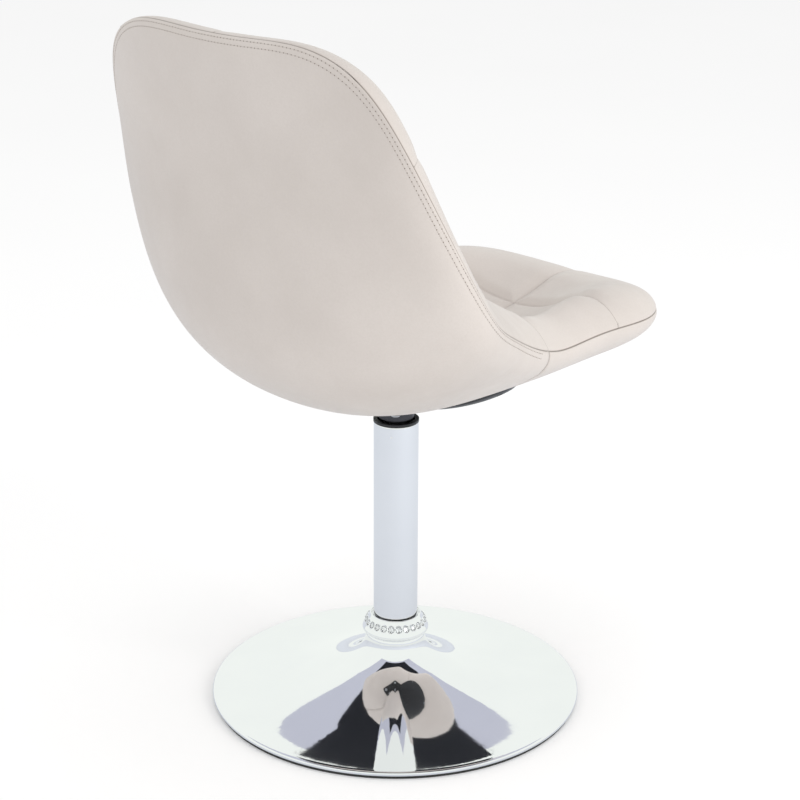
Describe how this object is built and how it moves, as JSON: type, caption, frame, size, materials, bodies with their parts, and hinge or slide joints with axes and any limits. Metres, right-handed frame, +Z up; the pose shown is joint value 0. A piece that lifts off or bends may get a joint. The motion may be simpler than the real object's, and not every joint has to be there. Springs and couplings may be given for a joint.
{
  "type": "swivel dining chair",
  "caption": "Armless dining chair with a quilted greige bucket seat that turns on a fixed chromed column with a crystal collar and a round trumpet foot.",
  "frame": {"origin": "on the floor, on the swivel axis at the centre of the foot", "axes": "+Z up along the swivel axis, -Y the way a sitter faces, -X the sitter's right"},
  "size_m": [0.4998, 0.5609, 0.7899],
  "materials": {
    "chrome": "polished",
    "crystal": "faceted and clear",
    "floor_rubber": "matte",
    "black_steel": "black satin paint",
    "bare_steel": "turned and bright",
    "black_plastic": "moulded, matte",
    "greige_leather": "smooth artificial leather",
    "plywood": "moulded plywood, unfinished",
    "foam": "open-cell seat foam",
    "wadding": "thin soft wadding"
  },
  "bodies": {
    "base": {"floor_ring": "floor_rubber", "ballast_plate": "black_steel", "trumpet_base": "chrome", "column_socket": "black_steel", "socket_ribs": "black_steel", "foot_bolt": "bare_steel", "foot_washer": "bare_steel", "column_tube": "chrome", "column_plug": "bare_steel", "crystal_collar": "chrome", "crystals": "crystal", "top_bushing": "black_plastic", "lower_bushing": "black_plastic", "bearing_seat": "bare_steel", "bearing_lower_race": "bare_steel", "ball_cage": "black_plastic", "bearing_balls": "bare_steel"},
    "seat": {"bearing_upper_race": "bare_steel", "swivel_spindle": "bare_steel", "retaining_washer": "bare_steel", "retaining_clip": "bare_steel", "plate_hub": "black_steel", "seat_plate": "black_steel", "plate_bolts": "bare_steel", "spring_washers": "bare_steel", "flat_washers": "bare_steel", "t_nuts": "bare_steel", "seat_block": "plywood", "underseat_cover": "black_plastic", "cover_screws": "bare_steel", "seat_shell": "plywood", "wadding": "wadding", "seat_foam": "foam", "back_foam": "foam", "under_panel": "greige_leather", "back_cover": "greige_leather", "quilted_cover": "greige_leather"}
  },
  "joints": [
    {"name": "seat_swivel", "type": "hinge", "parent": "base", "child": "seat", "pos_m": [0, 0, 0], "axis": [0, 0, 1], "continuous": true}
  ]
}
